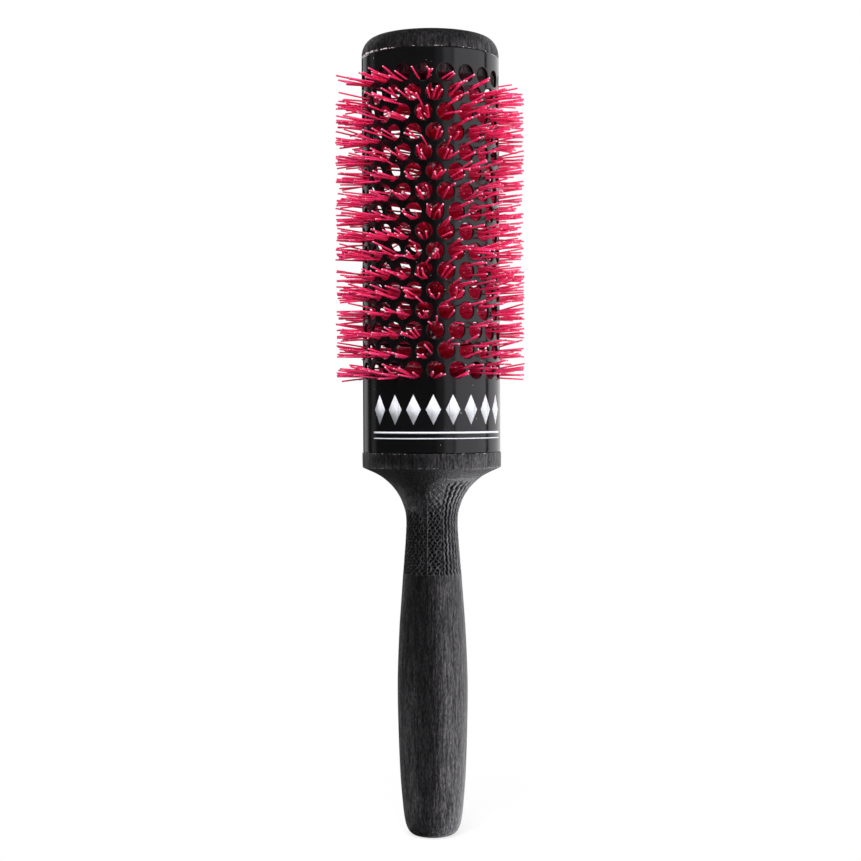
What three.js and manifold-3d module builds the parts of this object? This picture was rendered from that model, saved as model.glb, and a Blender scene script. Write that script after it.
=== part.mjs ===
// Round barrel hair brush: a turned wooden handle, a perforated ceramic-coated
// barrel, a wooden end cap, a twisted wire stem and sixteen rings of nylon tufts
// that reach out through the barrel's holes.
//
// Millimetres, +Z along the brush's axis with the end cap on top. The origin is
// at the middle of the handle's end. Angles run about +Z, from -Y towards +X.

import * as THREE from "three";
import { mergeVertices } from "three/addons/utils/BufferGeometryUtils.js";
import Module from "manifold-3d";

const wasm = await Module();
wasm.setup();

// ---- driving dimensions ----------------------------------------------------

const BRUSH_LENGTH = 249.2;
const FIT_GAP = 0.3; // between pieces that touch on the real brush

const BARREL_RADIUS = 21.5;
const BARREL_WALL = 0.9;
const BARREL_BOTTOM = 120;
const BARREL_TOP = 243.1;
const BARREL_SIDES = 20;

const ROWS = 16;
const HOLES_PER_ROW = 20;
const HOLE_STEP = (2 * Math.PI) / HOLES_PER_ROW;
const ROW_PITCH = 6;
const TOP_ROW_HEIGHT = 235.2;
const HOLE_RADIUS = 2.65;
const HOLE_SIDES = 6;
const TOP_ROW_ANGLE = THREE.MathUtils.degToRad(12.5);

const COLLAR_RADIUS = 21.75;
const COLLAR_BOTTOM = 115;
const SPIGOT_RADIUS = BARREL_RADIUS - BARREL_WALL - FIT_GAP;
const HANDLE_SPIGOT_TOP = 138;
const CAP_SPIGOT_BOTTOM = TOP_ROW_HEIGHT;
const CAP_EDGE_WIDTH = 4.5; // the cap's edge is rounded by a quarter of an ellipse
const CAP_EDGE_HEIGHT = 5.5;
const CAP_EDGE_STEPS = 5;
const TURNED_SIDES = 24;

const WIRE_RADIUS = 1;
const WIRE_SIDES = 5;
const WIRE_STEPS = 52;
const HELIX_RADIUS = WIRE_RADIUS + FIT_GAP / 2;
const HELIX_PITCH = 24;
const STEM_BORE_RADIUS = HELIX_RADIUS + WIRE_RADIUS + FIT_GAP;
const STEM_BOTTOM = 106;
const STEM_TOP = 246;

const TUFT_REACH = 30;
const TUFT_TIP_WIDTH = 0.9;
const TUFT_THICKNESS = 1.2;
const TUFT_DROP = 1.2; // the tufts leave through the lower half of each hole
const HUB_RADIUS = 4.4;
const HUB_SIDES = 8;

// ---- materials -------------------------------------------------------------

const charredWood = new THREE.MeshStandardMaterial({ color: 0x1c1a1a, roughness: 0.55, metalness: 0 });
const blackCeramic = new THREE.MeshStandardMaterial({ color: 0x101011, roughness: 0.35, metalness: 0.1 });
const capWood = new THREE.MeshStandardMaterial({ color: 0x211f1f, roughness: 0.6, metalness: 0 });
const stemSteel = new THREE.MeshStandardMaterial({ color: 0x9a9a9c, roughness: 0.35, metalness: 1 });
const crimsonNylon = new THREE.MeshStandardMaterial({ color: 0xd91e4e, roughness: 0.4, metalness: 0 });

// ---- helpers ---------------------------------------------------------------

const group = new THREE.Group();

function addPiece(name, geometry, material) {
  const mesh = new THREE.Mesh(geometry, material.clone());
  mesh.name = name;
  group.add(mesh);
}

// Turns a list of [radius, height] points about +Z.
function turned(profile, sides, firstAngle = 0) {
  const points = profile.map(([radius, height]) => new THREE.Vector2(radius, height));
  const geometry = new THREE.LatheGeometry(points, sides, firstAngle);
  geometry.rotateX(Math.PI / 2);
  return geometry;
}

function toSolid(geometry) {
  geometry.deleteAttribute("normal");
  geometry.deleteAttribute("uv");
  const merged = mergeVertices(geometry, 1e-4);
  const shell = new wasm.Mesh({
    numProp: 3,
    vertProperties: merged.attributes.position.array,
    triVerts: new Uint32Array(merged.index.array),
  });
  return new wasm.Manifold(shell);
}

function toGeometry(solid) {
  const shell = solid.getMesh();
  const geometry = new THREE.BufferGeometry();
  geometry.setAttribute("position", new THREE.BufferAttribute(shell.vertProperties, 3));
  geometry.setIndex(new THREE.BufferAttribute(shell.triVerts, 1));
  geometry.computeVertexNormals();
  return geometry;
}

// Every second row is turned by half a hole step.
function rowAngle(row) {
  return TOP_ROW_ANGLE - (row % 2) * (HOLE_STEP / 2);
}

function rowHeight(row) {
  return TOP_ROW_HEIGHT - row * ROW_PITCH;
}

function polar(radius, angle) {
  return new THREE.Vector2(radius * Math.sin(angle), -radius * Math.cos(angle));
}

// ---- handle: grip, waisted neck, flare, collar and spigot in one turning ----

function handleGeometry() {
  const flatEnd = [[0, 0], [6.2, 0], [7.6, 1.1]];
  const silhouette = new THREE.SplineCurve([
    new THREE.Vector2(8.6, 3.4),
    new THREE.Vector2(9.4, 8.5),
    new THREE.Vector2(10.3, 23),
    new THREE.Vector2(10.85, 46),
    new THREE.Vector2(10.25, 66),
    new THREE.Vector2(9.15, 82),
    new THREE.Vector2(8.12, 97.5),
    new THREE.Vector2(9.1, 103.6),
    new THREE.Vector2(11.8, 108.5),
    new THREE.Vector2(15.9, 112.3),
    new THREE.Vector2(21.2, COLLAR_BOTTOM),
  ]);
  const side = silhouette.getPoints(22).map((point) => [point.x, point.y]);
  const collar = [
    [COLLAR_RADIUS, COLLAR_BOTTOM + 0.4],
    [COLLAR_RADIUS, BARREL_BOTTOM - FIT_GAP],
    [SPIGOT_RADIUS, BARREL_BOTTOM - FIT_GAP],
    [SPIGOT_RADIUS, HANDLE_SPIGOT_TOP],
  ];
  const bore = [
    [STEM_BORE_RADIUS, HANDLE_SPIGOT_TOP],
    [STEM_BORE_RADIUS, STEM_BOTTOM - FIT_GAP],
    [0, STEM_BOTTOM - FIT_GAP],
  ];
  return turned([...flatEnd, ...side, ...collar, ...bore], TURNED_SIDES);
}

// ---- barrel: a thin tube with staggered rows of holes ----------------------

function holeCutter(angle, height) {
  const cutter = new THREE.CylinderGeometry(HOLE_RADIUS, HOLE_RADIUS, 4 * BARREL_WALL, HOLE_SIDES);
  cutter.translate(0, BARREL_WALL / 2 - BARREL_RADIUS, 0);
  cutter.rotateZ(angle);
  cutter.translate(0, 0, height);
  return toSolid(cutter);
}

function barrelGeometry() {
  const inside = BARREL_RADIUS - BARREL_WALL;
  const top = BARREL_TOP - FIT_GAP;
  const wall = [
    [inside, BARREL_BOTTOM],
    [BARREL_RADIUS, BARREL_BOTTOM],
    [BARREL_RADIUS, top],
    [inside, top],
    [inside, BARREL_BOTTOM],
  ];
  let barrel = toSolid(turned(wall, BARREL_SIDES, TOP_ROW_ANGLE));
  for (let row = 0; row < ROWS; row += 1) {
    for (let hole = 0; hole < HOLES_PER_ROW; hole += 1) {
      const angle = rowAngle(row) + hole * HOLE_STEP;
      barrel = barrel.subtract(holeCutter(angle, rowHeight(row)));
    }
  }
  return toGeometry(barrel);
}

// ---- end cap: a wooden disc with a spigot inside the barrel ----------------

function endCapGeometry() {
  const bore = [
    [0, STEM_TOP + FIT_GAP],
    [STEM_BORE_RADIUS, STEM_TOP + FIT_GAP],
    [STEM_BORE_RADIUS, CAP_SPIGOT_BOTTOM],
  ];
  const spigot = [
    [SPIGOT_RADIUS, CAP_SPIGOT_BOTTOM],
    [SPIGOT_RADIUS, BARREL_TOP],
    [BARREL_RADIUS, BARREL_TOP],
  ];
  const roundedEdge = [];
  for (let step = 0; step <= CAP_EDGE_STEPS; step += 1) {
    const turn = (step / CAP_EDGE_STEPS) * (Math.PI / 2);
    roundedEdge.push([
      BARREL_RADIUS - CAP_EDGE_WIDTH * (1 - Math.cos(turn)),
      BRUSH_LENGTH - CAP_EDGE_HEIGHT * (1 - Math.sin(turn)),
    ]);
  }
  return turned([...bore, ...spigot, ...roundedEdge, [0, BRUSH_LENGTH]], TURNED_SIDES);
}

// ---- stem: two steel wires twisted about the axis --------------------------

class StemHelix extends THREE.Curve {
  constructor(phase) {
    super();
    this.phase = phase;
  }

  getPoint(t, target = new THREE.Vector3()) {
    const climb = t * (STEM_TOP - STEM_BOTTOM);
    const angle = this.phase + (climb / HELIX_PITCH) * 2 * Math.PI;
    return target.set(
      HELIX_RADIUS * Math.cos(angle),
      HELIX_RADIUS * Math.sin(angle),
      STEM_BOTTOM + climb,
    );
  }
}

function stemWireGeometry(phase) {
  const section = new THREE.Shape();
  for (let corner = 0; corner < WIRE_SIDES; corner += 1) {
    const angle = (corner / WIRE_SIDES) * 2 * Math.PI;
    const place = [WIRE_RADIUS * Math.cos(angle), WIRE_RADIUS * Math.sin(angle)];
    if (corner === 0) {
      section.moveTo(...place);
    } else {
      section.lineTo(...place);
    }
  }
  section.closePath();
  return new THREE.ExtrudeGeometry(section, {
    steps: WIRE_STEPS,
    bevelEnabled: false,
    extrudePath: new StemHelix(phase),
  });
}

// ---- bristle row: a hub of packed filament roots and its twenty tufts ------

function bristleRowGeometry(row) {
  const tipHalfAngle = TUFT_TIP_WIDTH / 2 / TUFT_REACH;
  const outline = [];
  for (let tuft = 0; tuft < HOLES_PER_ROW; tuft += 1) {
    const angle = rowAngle(row) + tuft * HOLE_STEP;
    outline.push(polar(TUFT_REACH, angle - tipHalfAngle));
    outline.push(polar(TUFT_REACH, angle + tipHalfAngle));
    outline.push(polar(HUB_RADIUS, angle + HOLE_STEP / 2));
  }
  const star = new THREE.Shape(outline);
  const eye = [];
  for (let corner = 0; corner < HUB_SIDES; corner += 1) {
    const eyeRadius = STEM_BORE_RADIUS / Math.cos(Math.PI / HUB_SIDES);
    eye.push(polar(eyeRadius, (corner / HUB_SIDES) * 2 * Math.PI));
  }
  star.holes.push(new THREE.Path(eye));
  const geometry = new THREE.ExtrudeGeometry(star, { depth: TUFT_THICKNESS, bevelEnabled: false });
  geometry.translate(0, 0, rowHeight(row) - TUFT_DROP - TUFT_THICKNESS / 2);
  return geometry;
}

// ---- the brush -------------------------------------------------------------

addPiece("handle", handleGeometry(), charredWood);
addPiece("barrel", barrelGeometry(), blackCeramic);
addPiece("end_cap", endCapGeometry(), capWood);
addPiece("stem_wire_a", stemWireGeometry(0), stemSteel);
addPiece("stem_wire_b", stemWireGeometry(Math.PI), stemSteel);

for (let row = 0; row < ROWS; row += 1) {
  const name = `bristle_row_${String(row + 1).padStart(2, "0")}`;
  addPiece(name, bristleRowGeometry(row), crimsonNylon);
}

export default group;
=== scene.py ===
"""Visual model of a round barrel hair brush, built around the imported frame.

Lengths are metres. The brush stands on its handle's end at the origin, +Z up its axis.
Angles run about +Z from -Y, the side that faces the camera, towards +X.
"""

import math
import random

import bpy
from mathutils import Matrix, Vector


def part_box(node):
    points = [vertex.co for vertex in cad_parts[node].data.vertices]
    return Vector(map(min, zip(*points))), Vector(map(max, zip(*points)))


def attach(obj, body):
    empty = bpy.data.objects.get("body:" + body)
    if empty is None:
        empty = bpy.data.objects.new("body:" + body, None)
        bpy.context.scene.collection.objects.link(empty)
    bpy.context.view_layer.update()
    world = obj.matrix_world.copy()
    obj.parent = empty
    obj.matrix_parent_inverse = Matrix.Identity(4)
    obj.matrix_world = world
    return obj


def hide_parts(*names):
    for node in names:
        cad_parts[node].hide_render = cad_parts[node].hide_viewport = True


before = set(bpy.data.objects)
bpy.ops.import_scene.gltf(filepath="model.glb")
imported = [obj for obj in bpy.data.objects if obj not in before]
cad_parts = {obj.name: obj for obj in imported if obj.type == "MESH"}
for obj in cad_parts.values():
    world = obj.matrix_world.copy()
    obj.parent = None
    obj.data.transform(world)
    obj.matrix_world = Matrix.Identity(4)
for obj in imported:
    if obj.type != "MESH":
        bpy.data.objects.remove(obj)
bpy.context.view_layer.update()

MM = 0.001
TAU = 2 * math.pi
ROWS = 16
HOLES = 20
HOLE_STEP = TAU / HOLES

# ---- places taken from the frame -------------------------------------------

barrel_low, barrel_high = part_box("barrel")
cap_low, cap_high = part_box("end_cap")
wire_low, wire_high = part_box("stem_wire_a")
row_boxes = [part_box(f"bristle_row_{row + 1:02d}") for row in range(ROWS)]

CAP_RADIUS = cap_high.x
BARREL_RADIUS = CAP_RADIUS
BARREL_WALL = 0.9 * MM
BARREL_BOTTOM = barrel_low.z
BARREL_TOP = barrel_high.z
TUFT_REACH = row_boxes[0][1].x
TUFT_DROP = 1.2 * MM  # the frame's rings lie this far below the middles of the holes
ROW_HEIGHTS = [(low.z + high.z) / 2 + TUFT_DROP for low, high in row_boxes]
ROW_PITCH = (ROW_HEIGHTS[0] - ROW_HEIGHTS[-1]) / (ROWS - 1)
HOLE_RADIUS = 2.65 * MM
TOP_ROW_ANGLE = math.radians(12.5)
STEM_BORE_RADIUS = 2.45 * MM  # in the handle and in the end cap
CAP_SEAT = BARREL_TOP + 0.08 * MM


def row_angle(row):
    """Where a row's first hole is. Every second row is turned by half a step."""
    return TOP_ROW_ANGLE - (row % 2) * HOLE_STEP / 2


def around(radius, angle, height):
    """The X, Y and Z of a place given round the brush's axis."""
    return (radius * math.sin(angle), -radius * math.cos(angle), height)


# ---- mesh helpers ----------------------------------------------------------


def make_piece(name, verts, faces, materials, replaced=(), face_material=None):
    """A smooth shaded mesh on the root body, in place of the replaced frame nodes."""
    mesh = bpy.data.meshes.new(name)
    mesh.from_pydata(verts, [], faces)
    mesh.validate()
    mesh.shade_smooth()
    for material in materials:
        mesh.materials.append(material)
    if face_material:
        for polygon, index in zip(mesh.polygons, face_material):
            polygon.material_index = index
    piece = bpy.data.objects.new(name, mesh)
    bpy.context.scene.collection.objects.link(piece)
    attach(piece, "root")
    if replaced:
        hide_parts(*replaced)
    return piece


def ring_faces(rings, sides):
    """Quads between closed rings of vertices laid one after another."""
    faces = []
    for ring in range(rings - 1):
        here = ring * sides
        above = here + sides
        for side in range(sides):
            after = (side + 1) % sides
            faces.append((here + side, here + after, above + after, above + side))
    return faces


def smooth_knots(knots, step):
    """Points about step apart on a Catmull-Rom curve through the knots."""
    points = []
    last = len(knots) - 1
    for index in range(last):
        before = Vector(knots[max(index - 1, 0)])
        start = Vector(knots[index])
        end = Vector(knots[index + 1])
        after = Vector(knots[min(index + 2, last)])
        count = max(1, round((end - start).length / step))
        for piece in range(count):
            t = piece / count
            points.append(
                0.5
                * (
                    2 * start
                    + (end - before) * t
                    + (2 * before - 5 * start + 4 * end - after) * t * t
                    + (3 * start - before - 3 * end + after) * t * t * t
                )
            )
    points.append(Vector(knots[last]))
    return points


def ramp(value, low, high):
    """0 below low, 1 above high, with a soft step between."""
    t = min(max((value - low) / (high - low), 0), 1)
    return t * t * (3 - 2 * t)


# ---- material helpers ------------------------------------------------------


class Shader:
    """A Principled material and a short way to add nodes to it."""

    def __init__(self, name):
        self.material = bpy.data.materials.new(name)
        self.material.use_nodes = True
        self.tree = self.material.node_tree
        self.principled = self.tree.nodes["Principled BSDF"]

    def node(self, kind, **settings):
        node = self.tree.nodes.new(kind)
        for key, value in settings.items():
            setattr(node, key, value)
        return node

    def link(self, output, target):
        self.tree.links.new(output, target)

    def set(self, **sockets):
        for key, value in sockets.items():
            self.principled.inputs[key.replace("_", " ")].default_value = value

    def stretched(self, scale):
        place = self.node("ShaderNodeTexCoord")
        mapping = self.node("ShaderNodeMapping")
        mapping.inputs["Scale"].default_value = scale
        self.link(place.outputs["Object"], mapping.inputs["Vector"])
        return mapping.outputs["Vector"]

    def noise(self, vector, scale, detail=4, roughness=0.6):
        noise = self.node("ShaderNodeTexNoise")
        noise.inputs["Scale"].default_value = scale
        noise.inputs["Detail"].default_value = detail
        noise.inputs["Roughness"].default_value = roughness
        self.link(vector, noise.inputs["Vector"])
        return noise.outputs["Fac"]

    def colours(self, factor, stops):
        ramp_node = self.node("ShaderNodeValToRGB")
        elements = ramp_node.color_ramp.elements
        while len(elements) < len(stops):
            elements.new(0.5)
        for element, (position, colour) in zip(elements, stops):
            element.position = position
            element.color = (*colour, 1)
        self.link(factor, ramp_node.inputs["Fac"])
        return ramp_node.outputs["Color"]

    def remap(self, value, low, high, new_low, new_high):
        node = self.node("ShaderNodeMapRange")
        for socket, number in zip(node.inputs[1:5], (low, high, new_low, new_high)):
            socket.default_value = number
        self.link(value, node.inputs["Value"])
        return node.outputs["Result"]

    def math(self, operation, first, second):
        node = self.node("ShaderNodeMath", operation=operation)
        for socket, value in zip(node.inputs, (first, second)):
            if isinstance(value, (int, float)):
                socket.default_value = value
            else:
                self.link(value, socket)
        return node.outputs[0]

    def attribute(self, name):
        return self.node("ShaderNodeAttribute", attribute_name=name).outputs["Fac"]

    def mix(self, factor, first, second):
        node = self.node("ShaderNodeMix", data_type="RGBA")
        self.link(factor, node.inputs[0])
        for socket, value in ((node.inputs[6], first), (node.inputs[7], second)):
            if isinstance(value, tuple):
                socket.default_value = (*value, 1)
            else:
                self.link(value, socket)
        return node.outputs[2]

    def place(self):
        """X, Y and Z of the point, in metres."""
        coordinates = self.node("ShaderNodeTexCoord")
        split = self.node("ShaderNodeSeparateXYZ")
        self.link(coordinates.outputs["Object"], split.inputs["Vector"])
        return split.outputs

    def chips(self, height, half_width, amount):
        """1 where the finish has chipped off along an edge at this height, 0 elsewhere.

        A larger amount, which may vary by place, chips more of the edge.
        """
        off = self.math("ABSOLUTE", self.math("SUBTRACT", self.place()["Z"], height), 0)
        near = self.remap(off, 0, half_width, 1, 0)
        flakes = self.noise(self.stretched((1, 1, 1.6)), 1050, 2, 0.5)
        worn = self.math("MULTIPLY", self.math("MULTIPLY", flakes, near), amount)
        return self.remap(worn, 0.36, 0.42, 0, 1)

    def bump(self, height, distance, strength=1.0, normal=None):
        node = self.node("ShaderNodeBump")
        node.inputs["Strength"].default_value = strength
        node.inputs["Distance"].default_value = distance
        self.link(height, node.inputs["Height"])
        if normal:
            self.link(normal, node.inputs["Normal"])
        return node.outputs["Normal"]


GLOSS_TINT = (1.0, 0.965, 1.03, 1)  # the black finishes mirror a trace of purple
PAINTED_PIT_SHADE = (0.002, 0.0018, 0.0019)  # painted shade, at the bottom of the chequering
CHIPPED_WOOD = (1.0, 0.98, 0.96)
COLLAR_LOW_EDGE = 115.4 * MM
COLLAR_HIGH_EDGE = 119.75 * MM


def grained_wood(name, dark, light, roughness, chip_edges):
    """Black stained wood with chipped edges: its open pores and fibres run along the brush.

    The grain shows mostly as a change of polish. Cuts are dull and carry painted shade, and the
    ridges between them are worn bright.
    """
    shader = Shader(name)
    fibres = shader.noise(shader.stretched((1, 1, 0.09)), 1400, 4, 0.65)
    pores = shader.noise(shader.stretched((1, 1, 0.4)), 2000, 3, 0.6)
    bands = shader.noise(shader.stretched((1, 1, 0.12)), 190, 3, 0.5)
    figure = shader.math("ADD", fibres, shader.math("MULTIPLY", bands, 0.45))
    middle = tuple((a + 2 * b) / 3 for a, b in zip(light, dark))
    colour = shader.colours(figure, [(0.55, dark), (0.75, middle), (0.95, light)])
    cut = shader.attribute("cut_depth")
    # painted shade in the chequering's pits: the colour darkens as the cut gets deeper
    colour = shader.mix(cut, colour, PAINTED_PIT_SHADE)
    for height, half_width, amount in chip_edges(shader):
        colour = shader.mix(shader.chips(height, half_width, amount), colour, CHIPPED_WOOD)
    shader.link(colour, shader.principled.inputs["Base Color"])
    rough = shader.remap(figure, 0.5, 0.95, roughness + 0.1, roughness - 0.1)
    shader.link(rough, shader.principled.inputs["Roughness"])
    fibre_polish = shader.remap(fibres, 0.38, 0.62, 0.5, 1.5)
    pore_polish = shader.remap(pores, 0.36, 0.6, 0.35, 1.0)
    polish = shader.math("MULTIPLY", fibre_polish, pore_polish)
    polish = shader.math("MULTIPLY", polish, shader.remap(cut, 0, 1, 0.85, 0.05))
    ridge = shader.attribute("ridge")
    polish = shader.math("MULTIPLY", polish, shader.remap(ridge, 0, 1, 1.0, 1.85))
    shader.link(polish, shader.principled.inputs["Specular IOR Level"])
    fine = shader.bump(fibres, 0.22 * MM, 1.0)
    shader.link(shader.bump(pores, 0.16 * MM, 1.0, fine), shader.principled.inputs["Normal"])
    shader.set(IOR=1.6, Specular_Tint=GLOSS_TINT)
    return shader.material


def handle_edges(shader):
    """The collar's two edges are lightly chipped all round."""
    return ((COLLAR_LOW_EDGE, 0.35 * MM, 0.65), (COLLAR_HIGH_EDGE, 0.25 * MM, 0.66))


def cap_edges(shader):
    """The seam against the barrel is chipped all round, and most on its -X side."""
    amount = shader.remap(shader.place()["X"], -21 * MM, -9 * MM, 1.22, 0.64)
    return ((CAP_SEAT + 0.2 * MM, 0.85 * MM, amount),)


def black_ceramic():
    """Glossy black coating with a fine grit and specks of dust."""
    shader = Shader("black_ceramic")
    cloud = shader.noise(shader.stretched((1, 1, 1)), 120, 3)
    grit = shader.noise(shader.stretched((1, 1, 1)), 4200, 2)
    dust = shader.noise(shader.stretched((1, 1, 1)), 1300, 1, 0.3)
    colour = shader.colours(cloud, [(0.3, (0.0028, 0.0028, 0.003)), (0.7, (0.005, 0.005, 0.0055))])
    colour = shader.mix(shader.remap(dust, 0.8, 0.83, 0, 1), colour, (0.5, 0.48, 0.46))
    shader.link(colour, shader.principled.inputs["Base Color"])
    rough = shader.remap(cloud, 0.3, 0.7, 0.1, 0.15)
    shader.link(rough, shader.principled.inputs["Roughness"])
    shader.link(shader.bump(grit, 0.02 * MM, 0.35), shader.principled.inputs["Normal"])
    shader.set(IOR=1.5, Specular_Tint=GLOSS_TINT)
    return shader.material


def nylon(name, deep, bright, roughness):
    """Glossy filament plastic that lets a little light through."""
    shader = Shader(name)
    shade = shader.noise(shader.stretched((1, 1, 1)), 260, 2)
    colour = shader.colours(shade, [(0.35, deep), (0.65, bright)])
    shader.link(colour, shader.principled.inputs["Base Color"])
    streak = shader.noise(shader.stretched((1, 1, 1)), 1500, 2)
    rough = shader.remap(streak, 0.3, 0.7, roughness - 0.05, roughness + 0.08)
    shader.link(rough, shader.principled.inputs["Roughness"])
    shader.set(IOR=1.53, Subsurface_Weight=0.25, Subsurface_Scale=0.4 * MM)
    shader.principled.inputs["Subsurface Radius"].default_value = (1, 0.15, 0.25)
    return shader.material


def drawn_steel():
    """Wire with fine marks along it."""
    shader = Shader("stem_wire")
    drawn = shader.noise(shader.stretched((1, 1, 0.2)), 2600, 3)
    colour = shader.colours(drawn, [(0.3, (0.32, 0.32, 0.33)), (0.7, (0.55, 0.55, 0.57))])
    shader.link(colour, shader.principled.inputs["Base Color"])
    rough = shader.remap(drawn, 0.3, 0.7, 0.28, 0.42)
    shader.link(rough, shader.principled.inputs["Roughness"])
    shader.set(Metallic=1.0)
    return shader.material


def white_ink():
    """Printed white with a slightly uneven film."""
    shader = Shader("white_print")
    grain = shader.noise(shader.stretched((1, 1, 1)), 3600, 3)
    colour = shader.colours(grain, [(0.25, (0.66, 0.68, 0.74)), (0.5, (0.88, 0.9, 0.96))])
    shader.link(colour, shader.principled.inputs["Base Color"])
    rough = shader.remap(grain, 0.3, 0.7, 0.45, 0.6)
    shader.link(rough, shader.principled.inputs["Roughness"])
    return shader.material


HANDLE_DARK = (0.0018, 0.0016, 0.0018)
HANDLE_LIGHT = (0.0075, 0.0067, 0.0073)
CAP_DARK = (0.0012, 0.0011, 0.0012)
CAP_LIGHT = (0.007, 0.0064, 0.0068)
NYLON_DEEP = (0.88, 0.024, 0.135)
NYLON_BRIGHT = (0.96, 0.056, 0.225)
# painted highlight: the filaments' flat cut tips are coloured pale pink for the light they catch
TIP_HIGHLIGHT_DEEP = (0.92, 0.24, 0.36)
TIP_HIGHLIGHT_BRIGHT = (1.0, 0.46, 0.58)

handle_wood = grained_wood("handle_wood", HANDLE_DARK, HANDLE_LIGHT, 0.4, handle_edges)
cap_wood = grained_wood("cap_wood", CAP_DARK, CAP_LIGHT, 0.66, cap_edges)
ceramic = black_ceramic()
filament_nylon = nylon("crimson_nylon", NYLON_DEEP, NYLON_BRIGHT, 0.28)
# painted highlight on the filaments' cut tips
tip_highlight_nylon = nylon("tip_highlight_nylon", TIP_HIGHLIGHT_DEEP, TIP_HIGHLIGHT_BRIGHT, 0.5)
steel = drawn_steel()
ink = white_ink()

# ---- handle ----------------------------------------------------------------

HANDLE_SIDES = 320
NECK_RADIUS = 8.4 * MM
CHEQUER_BOTTOM = 82 * MM
CHEQUER_TOP = 112 * MM
CHEQUER_PITCH = 1.65 * MM
LOZENGE_ASPECT = 0.88  # width over height
CHEQUER_DEPTH = 0.7 * MM
PITS_FADE_FROM = 98 * MM  # up the flare the pits get shallower
PITS_FADE_TO = 108 * MM
PANEL_ANGLE = 90  # degrees round the neck for each panel
PANEL_MIDDLE = 33  # degrees from the front to the middle of panel 0
PANEL_CORNER = 3 * MM  # how far the panels' rounded top corners drop
LOW_PANEL = 3  # this one ends lower and is cut less deep
LOW_PANEL_DROP = 9 * MM
GROOVED_PANELS = (0, 2)
GROOVE_ANGLE = 9.5  # degrees from one groove to the next
GRIP_EDGE_ANGLE = math.radians(13)
GRIP_SWELL = 0.019


def handle_profile():
    """(radius, height) from the middle of the end up to the top of the spigot, and down its bore.

    The points are closest together along the neck, where the chequering is cut.
    """
    end = [(0.01, 0.0), (3.0, 0.0), (5.0, 0.0), (5.7, 0.08)]
    end += [(6.4, 0.3), (7.0, 0.66), (7.6, 1.25), (8.15, 2.2)]
    grip = [(8.6, 3.4), (9.4, 8.5), (10.3, 23), (10.85, 46), (10.25, 66), (9.15, 82)]
    neck = [(8.12, 97.5), (9.1, 103.6), (11.8, 108.5), (15.9, 112.3), (20.9, 114.8)]
    collar = [(21.5, 115.05), (21.72, 115.4), (21.75, 117.5), (21.75, 119.7), (21.65, 119.85)]
    spigot = [(20.3, 119.88), (20.3, 137.6), (19.9, 138), (2.75, 138), (2.45, 137.7)]
    bore = [(2.45, 120), (2.45, 105.6), (0.01, 105.6)]
    points = [Vector(point) for point in end]
    points += smooth_knots([end[-1], *grip[:-1]], 1.0)[1:]
    points += smooth_knots([grip[-2], grip[-1]], 1.0)[1:]
    fine = smooth_knots([grip[-2], grip[-1], *neck], 0.18)
    fine_from = 81.5
    points = [p for p in points if p.y < fine_from]
    points += [p for p in fine if p.y >= fine_from]
    points += [Vector(point) for point in collar + spigot + bore]
    return [(p.x * MM, p.y * MM) for p in points]


def off_ridge(phase):
    """0 on a ridge line and 1 half way to the next one."""
    return 1 - abs((phase % 1.0) - 0.5) * 2


def chequer_cut(angle, height):
    """How far the neck is cut here, from 0 to 1.

    Each of four panels is cut with lozenge pits between crossing ridges. On part of two panels,
    long wavy grooves take the place of the pits.
    """
    degrees = (math.degrees(angle) + PANEL_ANGLE / 2 - PANEL_MIDDLE) % 360
    panel, turn = divmod(degrees, PANEL_ANGLE)
    off_middle = abs(turn - PANEL_ANGLE / 2)
    inside = 1 - ramp(off_middle, 41.5, 43)
    low_panel = panel == LOW_PANEL
    top = CHEQUER_TOP - (LOW_PANEL_DROP if low_panel else 0)
    corner = ramp(off_middle, 25, 41) * PANEL_CORNER
    inside *= ramp(height, CHEQUER_BOTTOM - 0.1 * MM, CHEQUER_BOTTOM + 0.2 * MM)
    inside *= 1 - ramp(height, top - corner - 2.5 * MM, top - corner)
    if inside <= 0:
        return 0.0
    across = angle * NECK_RADIUS / CHEQUER_PITCH
    along = height / CHEQUER_PITCH * LOZENGE_ASPECT
    # the ridges wander a little, as if cut by hand
    drift = 0.14 * math.sin(3.1 * along + 5 * angle) + 0.08 * math.sin(7.3 * along - 11 * angle)
    pit = min(off_ridge(across + along + drift), off_ridge(across - along + drift))
    cut = min(1, 1.7 * pit) * (1 - 0.75 * ramp(height, PITS_FADE_FROM, PITS_FADE_TO))
    cut *= 0.6 if low_panel else 0.8
    if panel in GROOVED_PANELS:
        wave = 0.1 * math.sin(along * TAU) + 0.06 * math.sin(along * 2.3)
        grooved = ramp(turn, 31, 36)
        deep = 0.85 + 0.15 * math.sin(along * TAU + 1)
        groove = ramp(off_ridge(turn / GROOVE_ANGLE + wave), 0.45, 0.75) * grooved * deep
        cut = max(groove, cut * (1 - 0.85 * grooved))
    return inside * cut


def grip_squareness(angle, height):
    """The grip is softly four-sided: its radius swells at four edges and is planed between them."""
    along = ramp(height, 6 * MM, 20 * MM) * (1 - ramp(height, 50 * MM, 84 * MM))
    turn = angle - GRIP_EDGE_ANGLE
    edge = math.cos(4 * turn) + 0.3 * math.cos(8 * turn)
    return 1 + GRIP_SWELL * along * edge


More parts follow.
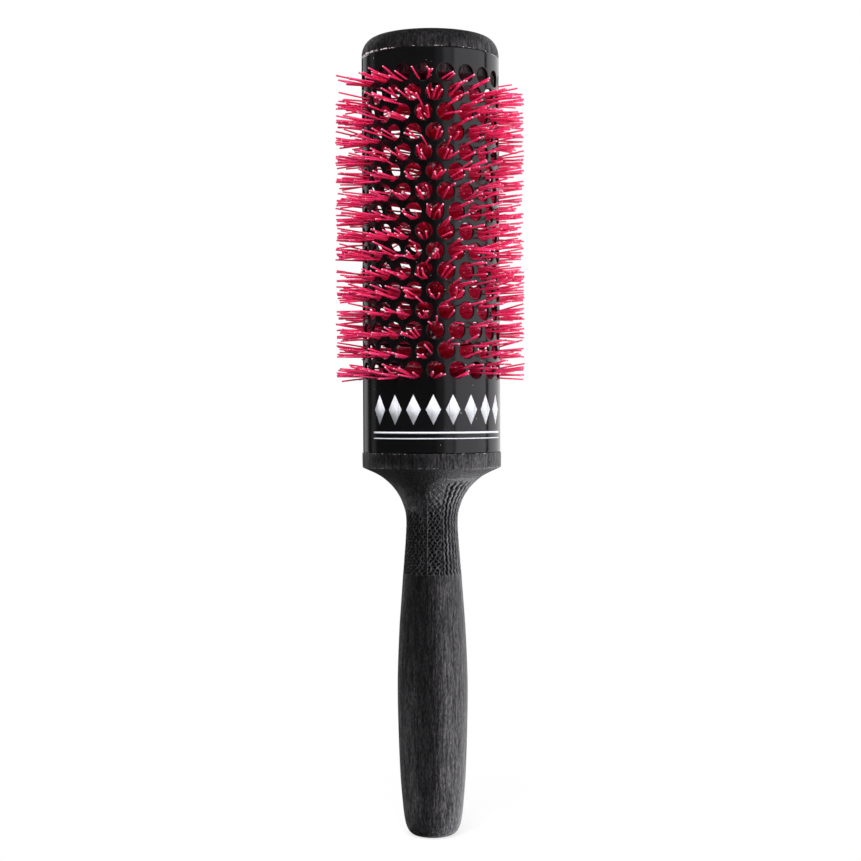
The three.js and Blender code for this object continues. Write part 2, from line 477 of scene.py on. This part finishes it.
def build_handle():
    """The turned handle. Its cut_depth and ridge attributes tell the wood where it is chequered."""
    profile = handle_profile()
    verts = []
    cuts = []
    ridges = []
    for radius, height in profile:
        beside_panels = CHEQUER_BOTTOM - MM < height < CHEQUER_TOP + MM
        chequered = beside_panels and radius > CHEQUER_DEPTH + STEM_BORE_RADIUS
        for side in range(HANDLE_SIDES):
            angle = side / HANDLE_SIDES * TAU
            cut = chequer_cut(angle, height) if chequered else 0.0
            cuts.append(cut)
            ridges.append(1 - cut if cut > 0 else 0)
            uncut = radius * grip_squareness(angle, height)
            verts.append(around(uncut - CHEQUER_DEPTH * cut, angle, height))
    faces = ring_faces(len(profile), HANDLE_SIDES)
    faces.append(tuple(reversed(range(HANDLE_SIDES))))
    last = (len(profile) - 1) * HANDLE_SIDES
    faces.append(tuple(range(last, last + HANDLE_SIDES)))
    handle = make_piece("turned_handle", verts, faces, [handle_wood], ["handle"])
    for name, values in (("cut_depth", cuts), ("ridge", ridges)):
        layer = handle.data.attributes.new(name, "FLOAT", "POINT")
        layer.data.foreach_set("value", values)


# ---- barrel ----------------------------------------------------------------

EDGE_STEPS = 8
RIM_BEVEL = 0.16 * MM


def cell_edge(step):
    """Point number step of 32 round the edge of a hole's cell: across and up, from -1 to 1."""
    side, along = divmod(step, EDGE_STEPS)
    t = along / EDGE_STEPS
    corner = {0: (-1 + 2 * t, -1), 1: (1, -1 + 2 * t), 2: (1 - 2 * t, 1), 3: (-1, 1 - 2 * t)}
    return corner[side]


def build_barrel():
    """The perforated tube.

    Each hole has its own cell of quads, and neighbouring cells share the points of their edges.
    """
    outer = BARREL_RADIUS
    inner = outer - BARREL_WALL
    verts = []
    index_of = {}
    faces = []

    def vertex(angle, height, radius):
        turn = round(math.degrees(angle) % 360, 3) % 360
        key = (turn, round(height / MM, 4), round(radius / MM, 4))
        if key not in index_of:
            index_of[key] = len(verts)
            verts.append(around(radius, angle, height))
        return index_of[key]

    around_count = 4 * EDGE_STEPS
    half_cell = HOLE_STEP / 2
    # (distance from the hole's middle, radius); None stands for the cell's own edge
    loops = (
        (None, outer),
        (HOLE_RADIUS + 2.2 * RIM_BEVEL, outer),
        (HOLE_RADIUS + RIM_BEVEL, outer),
        (HOLE_RADIUS + 0.3 * RIM_BEVEL, outer - 0.3 * RIM_BEVEL),
        (HOLE_RADIUS, outer - RIM_BEVEL),
        (HOLE_RADIUS, inner + RIM_BEVEL),
        (HOLE_RADIUS + RIM_BEVEL, inner),
        (None, inner),
    )
    for row, height in enumerate(ROW_HEIGHTS):
        for hole in range(HOLES):
            middle = row_angle(row) + hole * HOLE_STEP
            rings = []
            for distance, radius in loops:
                ring = []
                for step in range(around_count):
                    across, up = cell_edge(step)
                    if distance is None:
                        angle = middle + across * half_cell
                        level = height + up * ROW_PITCH / 2
                    else:
                        direction = math.atan2(up, across)
                        angle = middle + distance * math.cos(direction) / outer
                        level = height + distance * math.sin(direction)
                    ring.append(vertex(angle, level, radius))
                rings.append(ring)
            for outer_ring, inner_ring in zip(rings, rings[1:]):
                for step in range(around_count):
                    after = (step + 1) % around_count
                    outer_edge = (outer_ring[step], outer_ring[after])
                    inner_edge = (inner_ring[after], inner_ring[step])
                    faces.append(outer_edge + inner_edge)

    columns = HOLES * EDGE_STEPS
    first = row_angle(0) + half_cell
    angles = [first + column * HOLE_STEP / EDGE_STEPS for column in range(columns)]
    lip = 0.12 * MM
    end_inner = inner + 0.1 * MM
    low_hole = ROW_HEIGHTS[-1] - ROW_PITCH / 2
    high_hole = ROW_HEIGHTS[0] + ROW_PITCH / 2
    # (height, radius) of the plain bands below and above the holes
    bottom_levels = [
        (BARREL_BOTTOM, end_inner),
        (BARREL_BOTTOM, outer - lip),
        (BARREL_BOTTOM + 0.3 * lip, outer - 0.3 * lip),
        (BARREL_BOTTOM + lip, outer),
        (BARREL_BOTTOM + 4 * lip, outer),
        (low_hole, outer),
    ]
    top_levels = [
        (high_hole, outer),
        (BARREL_TOP - 4 * lip, outer),
        (BARREL_TOP - lip, outer),
        (BARREL_TOP - 0.3 * lip, outer - 0.3 * lip),
        (BARREL_TOP, outer - lip),
        (BARREL_TOP, end_inner),
    ]
    inside_bottom = [(low_hole, inner), (BARREL_BOTTOM + lip, inner), bottom_levels[0]]
    inside_top = [top_levels[-1], (BARREL_TOP - lip, inner), (high_hole, inner)]
    for levels in (bottom_levels, top_levels, inside_bottom, inside_top):
        for (z0, r0), (z1, r1) in zip(levels, levels[1:]):
            for column in range(columns):
                a, b = angles[column], angles[(column + 1) % columns]
                low_edge = (vertex(a, z0, r0), vertex(b, z0, r0))
                high_edge = (vertex(b, z1, r1), vertex(a, z1, r1))
                faces.append(low_edge + high_edge)
    make_piece("perforated_barrel", verts, faces, [ceramic], ["barrel"])


# ---- end cap ---------------------------------------------------------------


def build_cap():
    """Turned disc, its edge rounded by a quarter of an ellipse, on a bored spigot."""
    sides = 200
    fit_gap = 0.3 * MM
    spigot = CAP_RADIUS - BARREL_WALL - fit_gap
    edge_width = 4.5 * MM
    edge_height = 5.5 * MM
    bore = STEM_BORE_RADIUS
    profile = [
        (0.01 * MM, wire_high.z + fit_gap),
        (bore, wire_high.z + fit_gap),
        (bore, cap_low.z + 0.3 * MM),
        (bore + 0.3 * MM, cap_low.z),
        (spigot - 0.4 * MM, cap_low.z),
        (spigot, cap_low.z + 0.4 * MM),
        (spigot, CAP_SEAT),
        (CAP_RADIUS - 0.3 * MM, CAP_SEAT),
        (CAP_RADIUS - 0.08 * MM, CAP_SEAT + 0.1 * MM),
        (CAP_RADIUS, CAP_SEAT + 0.3 * MM),
    ]
    steps = 24
    for step in range(steps + 1):
        turn = step / steps * math.pi / 2
        radius = CAP_RADIUS - edge_width * (1 - math.cos(turn))
        profile.append((radius, cap_high.z - edge_height * (1 - math.sin(turn))))
    flat = CAP_RADIUS - edge_width
    profile += [(flat * part, cap_high.z) for part in (0.85, 0.6, 0.35, 0.1, 0.001)]
    verts = [around(r, side / sides * TAU, z) for r, z in profile for side in range(sides)]
    faces = ring_faces(len(profile), sides)
    faces.append(tuple(reversed(range(sides))))
    last = (len(profile) - 1) * sides
    faces.append(tuple(range(last, last + sides)))
    make_piece("wooden_cap", verts, faces, [cap_wood], ["end_cap"])


# ---- tubes: stem wires and filaments ---------------------------------------


def tube(path, radius, sides, verts, faces, tags, cut_tag=0, twist=0.0):
    """Adds a closed round tube along path; its far end's faces get cut_tag."""
    start = len(verts)
    tangent = (path[1] - path[0]).normalized()
    side_axis = tangent.orthogonal().normalized()
    for index, point in enumerate(path):
        ahead = path[min(index + 1, len(path) - 1)]
        behind = path[max(index - 1, 0)]
        tangent = (ahead - behind).normalized()
        side_axis = (side_axis - tangent * side_axis.dot(tangent)).normalized()
        up_axis = tangent.cross(side_axis)
        for side in range(sides):
            turn = twist + side / sides * TAU
            verts.append(point + radius * (math.cos(turn) * side_axis + math.sin(turn) * up_axis))
    new_faces = ring_faces(len(path), sides)
    faces.extend(tuple(start + corner for corner in face) for face in new_faces)
    tags.extend([0] * len(new_faces))
    faces.append(tuple(start + side for side in reversed(range(sides))))
    last = start + (len(path) - 1) * sides
    faces.append(tuple(last + side for side in range(sides)))
    tags.extend([0, cut_tag])


def build_stem_wires():
    """Two wires twisted round each other; the filaments are gripped between them."""
    radius = 1.0 * MM
    twist_radius = 1.08 * radius
    pitch = 9 * MM
    low, high = wire_low.z + 0.5 * MM, wire_high.z - 0.5 * MM
    steps = 240
    for name, phase in (("stem_wire_a", 0), ("stem_wire_b", math.pi)):
        path = []
        for step in range(steps + 1):
            height = low + (high - low) * step / steps
            turn = phase + height / pitch * TAU
            x = twist_radius * math.cos(turn)
            y = twist_radius * math.sin(turn)
            path.append(Vector((x, y, height)))
        verts, faces, tags = [], [], []
        tube(path, radius, 10, verts, faces, tags)
        make_piece(f"twisted_{name[5:]}", verts, faces, [steel], [name])


FILAMENT_RADIUS = 0.27 * MM
FILAMENT_SIDES = 8
INSIDE_STEPS = 6
OUTSIDE_STEPS = 3
ROOT_RADIUS = 1.2 * MM
FILAMENT_SEED = 43
FILAMENTS_PER_TURN = 166
SHEET_START = -3.3 * MM  # from the holes' middles to where the sheet meets the wall, at angle 0
SHEET_TOP = ROW_HEIGHTS[0] - 1.1 * MM  # the wires hold no filaments above this
SHEET_LEAN = 0.06  # every filament climbs a little on its way out
SHEET_SCATTER = 0.42 * MM
STRAY_SHARE = 0.08  # these stand well off the sheet
STRAY_OFFSET = (1.0 * MM, 2.8 * MM)
HELD_RADIUS = HOLE_RADIUS - FILAMENT_RADIUS - 0.06 * MM  # a hole's rim keeps a filament within this
CATCH_BIAS = 1.0 * MM
CATCH_REACH = HOLE_RADIUS + 1.4 * MM  # a hole lets out filaments aimed at the wall within this
WALL_REACH = HOLE_RADIUS + 2.2 * MM  # further off than this, none are kept
OUTSIDE_SHARE = 0.59  # of the filaments that a hole can let out
SHORT_END = (0.6, 0.95)  # where those that stay inside end, in barrel radii
EVENLY_CUT_SHARE = 0.9
EVEN_TRIM = (0.0, 0.4 * MM)  # how far short of the full reach the tips are cut
UNEVEN_TRIM = (0.5 * MM, 3.0 * MM)
SIDE_TRIM = 0.5 * MM  # more on the +X side
WANDER_ACROSS = 0.5 * MM
WANDER_UP = 1.0 * MM
BEND_END_SLOPE = 1.5  # of the curve that filament_path bends along, where it reaches the wall
SPLAY_ACROSS = 0.08  # scatter of the free ends' slopes
SPLAY_UP = 0.07


def nearest_hole(angle, height):
    """The hole that catches a filament at this place, as (row, hole, across, up).

    Across and up are the place, measured from the hole's middle.
    Filaments climb on their way out, so a hole catches more of them from below than from above.
    """
    best = None
    best_reach = math.inf
    guess = round((ROW_HEIGHTS[0] - height) / ROW_PITCH)
    guess = min(max(guess, 0), ROWS - 1)
    for row in range(max(guess - 1, 0), min(guess + 2, ROWS)):
        hole = round((angle - row_angle(row)) / HOLE_STEP)
        across = (angle - row_angle(row) - hole * HOLE_STEP) * BARREL_RADIUS
        up = height - ROW_HEIGHTS[row]
        reach = math.hypot(across, up + CATCH_BIAS)
        if reach < best_reach:
            best_reach = reach
            best = (row, hole % HOLES, across, up)
    return best


def filament_path(rng, row, hole, across, up):
    """One filament from between the wires, out through its hole, to its cut tip.

    It sets out for its own place on the wall. Where that is past the hole's rim, the rim bends it,
    and it goes on from there in the bent direction.
    """
    wall = BARREL_RADIUS - BARREL_WALL / 2
    end_across = across + rng.gauss(0, WANDER_ACROSS)
    end_up = up + rng.gauss(0, WANDER_UP)
    held = min(1.0, HELD_RADIUS / math.hypot(end_across, end_up))
    end_across *= held
    end_up *= held
    push_across = end_across - across
    push_up = end_up - up
    middle = row_angle(row) + hole * HOLE_STEP
    evenly_cut = rng.random() < EVENLY_CUT_SHARE
    trim_range = EVEN_TRIM if evenly_cut else UNEVEN_TRIM
    trim = rng.uniform(*trim_range) + SIDE_TRIM * max(0.0, math.sin(middle))
    tip = TUFT_REACH - trim
    free = tip - wall
    slope_across = BEND_END_SLOPE * push_across / wall + rng.gauss(0, SPLAY_ACROSS)
    slope_up = SHEET_LEAN + BEND_END_SLOPE * push_up / wall + rng.gauss(0, SPLAY_UP)
    path = []
    for step in range(INSIDE_STEPS + 1):
        part = step / INSIDE_STEPS
        radius = ROOT_RADIUS + (wall - ROOT_RADIUS) * part
        bend = part * part * (3 - part) / 2
        turn = middle + (across + push_across * bend) / BARREL_RADIUS
        climb = up - SHEET_LEAN * (wall - radius) + push_up * bend
        path.append(Vector(around(radius, turn, ROW_HEIGHTS[row] + climb)))
    for step in range(1, OUTSIDE_STEPS + 1):
        part = step / OUTSIDE_STEPS
        radius = wall + free * part
        turn = middle + (end_across + slope_across * free * part) / BARREL_RADIUS
        height = ROW_HEIGHTS[row] + end_up + slope_up * free * part
        path.append(Vector(around(radius, turn, height)))
    return path


def short_path(rng, row, hole, across, up):
    """A filament that is let out by no hole and ends inside the barrel."""
    end = rng.uniform(*SHORT_END) * BARREL_RADIUS
    turn = row_angle(row) + hole * HOLE_STEP + across / BARREL_RADIUS
    steps = 3
    path = []
    for step in range(steps + 1):
        radius = ROOT_RADIUS + (end - ROOT_RADIUS) * step / steps
        climb = up - SHEET_LEAN * (BARREL_RADIUS - radius)
        path.append(Vector(around(radius, turn, ROW_HEIGHTS[row] + climb)))
    return path


def scatter_filaments(rng):
    """The (hole, across, up) of each row's filaments: those that leave, and those that stay inside.

    The twisted wires lay the filaments on a double spiral ramp, whose turns are one row apart.
    """
    leaving = [[] for _ in range(ROWS)]
    staying = [[] for _ in range(ROWS)]
    for sheet in range(-1, ROWS + 2):
        for number in range(FILAMENTS_PER_TURN):
            angle = TAU * (number + rng.random()) / FILAMENTS_PER_TURN - math.pi
            height = ROW_HEIGHTS[0] - sheet * ROW_PITCH + SHEET_START - 2 * ROW_PITCH * angle / TAU
            height += rng.gauss(0, SHEET_SCATTER)
            if rng.random() < STRAY_SHARE:
                height += rng.choice((-1, 1)) * rng.uniform(*STRAY_OFFSET)
            if height > SHEET_TOP:
                continue
            row, hole, across, up = nearest_hole(angle, height)
            distance = math.hypot(across, up)
            if distance < CATCH_REACH and rng.random() < OUTSIDE_SHARE:
                leaving[row].append((hole, across, up))
            elif distance < WALL_REACH:
                staying[row].append((hole, across, up))
    return leaving, staying


def build_tufts():
    """One piece for each row of holes, with all the filaments that its holes catch."""
    rng = random.Random(FILAMENT_SEED)
    leaving, staying = scatter_filaments(rng)
    for row in range(ROWS):
        verts, faces, tags = [], [], []
        for hole, across, up in leaving[row]:
            path = filament_path(rng, row, hole, across, up)
            # the far end's faces get the painted tip highlight material
            tube(path, FILAMENT_RADIUS, FILAMENT_SIDES, verts, faces, tags, 1, rng.uniform(0, TAU))
        for hole, across, up in staying[row]:
            path = short_path(rng, row, hole, across, up)
            tube(path, FILAMENT_RADIUS, FILAMENT_SIDES - 2, verts, faces, tags, 1)
        make_piece(
            f"tuft_row_{row + 1:02d}",
            verts,
            faces,
            [filament_nylon, tip_highlight_nylon],
            [f"bristle_row_{row + 1:02d}"],
            tags,
        )


# ---- printed band ----------------------------------------------------------

INK_LIFT = 0.03 * MM


def ink_plate(outline, verts, faces):
    """A printed shape, given by (across, height) corners, as a closed thin plate on the barrel."""
    start = len(verts)
    count = len(outline)
    for radius in (BARREL_RADIUS - INK_LIFT, BARREL_RADIUS + INK_LIFT):
        for across, height in outline:
            verts.append(around(radius, across / BARREL_RADIUS, height))
    faces.append(tuple(start + count + corner for corner in range(count)))
    faces.append(tuple(start + corner for corner in reversed(range(count))))
    for corner in range(count):
        after = (corner + 1) % count
        faces.append((start + corner, start + after, start + count + after, start + count + corner))


def ink_bar(left, right, low, high, verts, faces):
    """A long printed bar, cut into short plates so that it follows the barrel."""
    pieces = max(1, round((right - left) / (1.2 * MM)))
    bottom = [(left + (right - left) * i / pieces, low) for i in range(pieces + 1)]
    top = [(x, high) for x, _ in bottom]
    start = len(verts)
    for radius in (BARREL_RADIUS - INK_LIFT, BARREL_RADIUS + INK_LIFT):
        for across, height in bottom + top:
            verts.append(around(radius, across / BARREL_RADIUS, height))
    row = len(bottom)
    layer = 2 * row
    for piece in range(pieces):
        a, b = start + piece, start + piece + 1
        faces.append((a + layer, b + layer, b + row + layer, a + row + layer))
        faces.append((a, a + row, b + row, b))
        faces.append((a, b, b + layer, a + layer))
        faces.append((a + row, a + row + layer, b + row + layer, b + row))
    for a, flip in ((start, False), (start + pieces, True)):
        end = (a, a + layer, a + row + layer, a + row)
        faces.append(tuple(reversed(end)) if flip else end)


def build_print():
    """Plain white ornament: a row of lozenges above two rules."""
    verts, faces = [], []
    centre = 3.6 * MM
    lozenges = 8
    spacing = 6.1 * MM
    half_width = 2.3 * MM
    half_height = 4.6 * MM
    middle = 133.2 * MM
    for number in range(lozenges):
        x = centre + (number - (lozenges - 1) / 2) * spacing
        outline = [(x, middle - half_height), (x + half_width, middle)]
        outline += [(x, middle + half_height), (x - half_width, middle)]
        ink_plate(outline, verts, faces)
    half = (lozenges / 2) * spacing
    for low, high in ((125.9 * MM, 126.5 * MM), (124.3 * MM, 124.6 * MM)):
        ink_bar(centre - half, centre + half, low, high, verts, faces)
    make_piece("printed_ornament", verts, faces, [ink])


# ---- stage, light and camera -----------------------------------------------

LIT_MIDDLE = (0, 0, 0.15)


def area_light(name, place, width, height, radiance, seen_in_gloss=True):
    """A soft box, turned to the brush's middle, that mirrors at the given radiance."""
    data = bpy.data.lights.new(name, "AREA")
    data.shape = "RECTANGLE"
    data.size = width
    data.size_y = height
    data.energy = radiance * math.pi * width * height
    light = bpy.data.objects.new(name, data)
    light.location = place
    light.rotation_euler = (Vector(LIT_MIDDLE) - Vector(place)).to_track_quat("-Z", "Y").to_euler()
    light.visible_camera = False
    light.visible_glossy = seen_in_gloss
    bpy.context.scene.collection.objects.link(light)


def build_stage():
    """A white floor that fades into the white surround, so that no horizon shows."""
    shader = Shader("floor_white")
    distance = shader.node("ShaderNodeVectorMath", operation="LENGTH")
    shader.link(shader.stretched((1, 1, 1)), distance.inputs[0])
    fade = shader.remap(distance.outputs["Value"], 0.0, 0.12, 0.75, 1)
    grain = shader.noise(shader.stretched((1, 1, 1)), 40, 2)
    colour = shader.colours(grain, [(0.3, (0.9, 0.9, 0.9)), (0.7, (0.93, 0.93, 0.93))])
    shader.link(colour, shader.principled.inputs["Base Color"])
    shader.set(Roughness=0.9, Specular_IOR_Level=0.1)
    glow = shader.node("ShaderNodeEmission")
    mix = shader.node("ShaderNodeMixShader")
    shader.link(fade, mix.inputs["Fac"])
    shader.link(shader.principled.outputs["BSDF"], mix.inputs[1])
    shader.link(glow.outputs["Emission"], mix.inputs[2])
    shader.link(mix.outputs["Shader"], shader.tree.nodes["Material Output"].inputs["Surface"])
    half = 30.0
    mesh = bpy.data.meshes.new("floor")
    corners = [(-half, -half, 0), (half, -half, 0), (half, half, 0), (-half, half, 0)]
    mesh.from_pydata(corners, [], [(0, 1, 2, 3)])
    mesh.materials.append(shader.material)
    floor = bpy.data.objects.new("floor", mesh)
    floor.location.z = -0.02 * MM
    floor.visible_glossy = False
    floor.visible_diffuse = False
    floor.visible_shadow = False
    bpy.context.scene.collection.objects.link(floor)


def build_world():
    """White where the camera looks past the brush, a dim grey room for everything else."""
    world = bpy.data.worlds.new("studio")
    world.use_nodes = True
    bpy.context.scene.world = world
    tree = world.node_tree
    room = tree.nodes["Background"]
    room.inputs["Color"].default_value = (1, 1, 1, 1)
    room.inputs["Strength"].default_value = 0.04
    paper = tree.nodes.new("ShaderNodeBackground")
    paper.inputs["Color"].default_value = (1, 1, 1, 1)
    rays = tree.nodes.new("ShaderNodeLightPath")
    mix = tree.nodes.new("ShaderNodeMixShader")
    tree.links.new(rays.outputs["Is Camera Ray"], mix.inputs["Fac"])
    tree.links.new(room.outputs["Background"], mix.inputs[1])
    tree.links.new(paper.outputs["Background"], mix.inputs[2])
    tree.links.new(mix.outputs["Shader"], tree.nodes["World Output"].inputs["Surface"])


def light_place(azimuth, elevation, distance):
    """A place round the brush's middle, by degrees from -Y towards +X and degrees above level."""
    rise = math.radians(elevation)
    x, y, z = around(distance * math.cos(rise), math.radians(azimuth), distance * math.sin(rise))
    return (x, y, z + LIT_MIDDLE[2])


def build_lights():
    """Soft boxes.

    A wall of them on the right dims towards the camera, two thin strips stand on the left, and
    the others light the brush from above and below.
    """
    area_light("right_edge_strip", light_place(15, 3, 0.9), 0.2, 1.1, 0.14)
    area_light("right_near_strip", light_place(29, 3, 0.9), 0.24, 1.1, 0.66)
    area_light("right_panel", light_place(71, 3, 0.9), 1.1, 1.1, 1.3)
    area_light("right_back_panel", light_place(138, 0, 0.9), 1.0, 1.1, 1.2)
    area_light("front_top_panel", light_place(-8, 56, 1.0), 0.8, 0.6, 9.5, seen_in_gloss=False)
    area_light("front_top_glint", light_place(-8, 50, 1.0), 0.5, 0.3, 2.4)
    area_light("high_left_panel", light_place(-75, 30, 0.9), 0.5, 0.5, 3.2, seen_in_gloss=False)
    area_light("high_back_left_panel", light_place(-150, 30, 0.9), 0.6, 0.3, 1.9)
    area_light("high_back_right_panel", light_place(148, 32, 0.9), 0.6, 0.3, 2.2)
    area_light("low_right_panel", light_place(60, -42, 0.9), 0.7, 0.6, 2.0)
    area_light("low_left_panel", around(0.4, math.radians(-80), -0.13), 0.35, 0.2, 0.8)
    area_light("low_back_panel", light_place(128, -48, 0.9), 0.9, 0.8, 1.6)
    area_light("low_front_panel", light_place(-10, -50, 0.9), 0.5, 0.4, 0.4)
    area_light("left_back_strip", light_place(-143, 0, 0.8), 0.3, 1.1, 0.56)
    area_light("left_fill_strip", light_place(-112, 0, 0.9), 0.2, 1.1, 0.2)


def build_camera():
    """In front, level with the printed band, and rolled by a quarter of a degree."""
    data = bpy.data.cameras.new("camera")
    data.sensor_width = 36
    data.lens = 71.1
    data.shift_x = -0.0012
    data.shift_y = -0.0296
    camera = bpy.data.objects.new("camera", data)
    camera.location = (0, -0.534, 0.1346)
    camera.rotation_euler = (math.radians(90), math.radians(0.25), 0)
    bpy.context.scene.collection.objects.link(camera)
    bpy.context.scene.camera = camera
    bpy.context.scene.view_settings.view_transform = "Standard"


build_handle()
build_barrel()
build_cap()
build_stem_wires()
build_tufts()
build_print()
build_stage()
build_world()
build_lights()
build_camera()
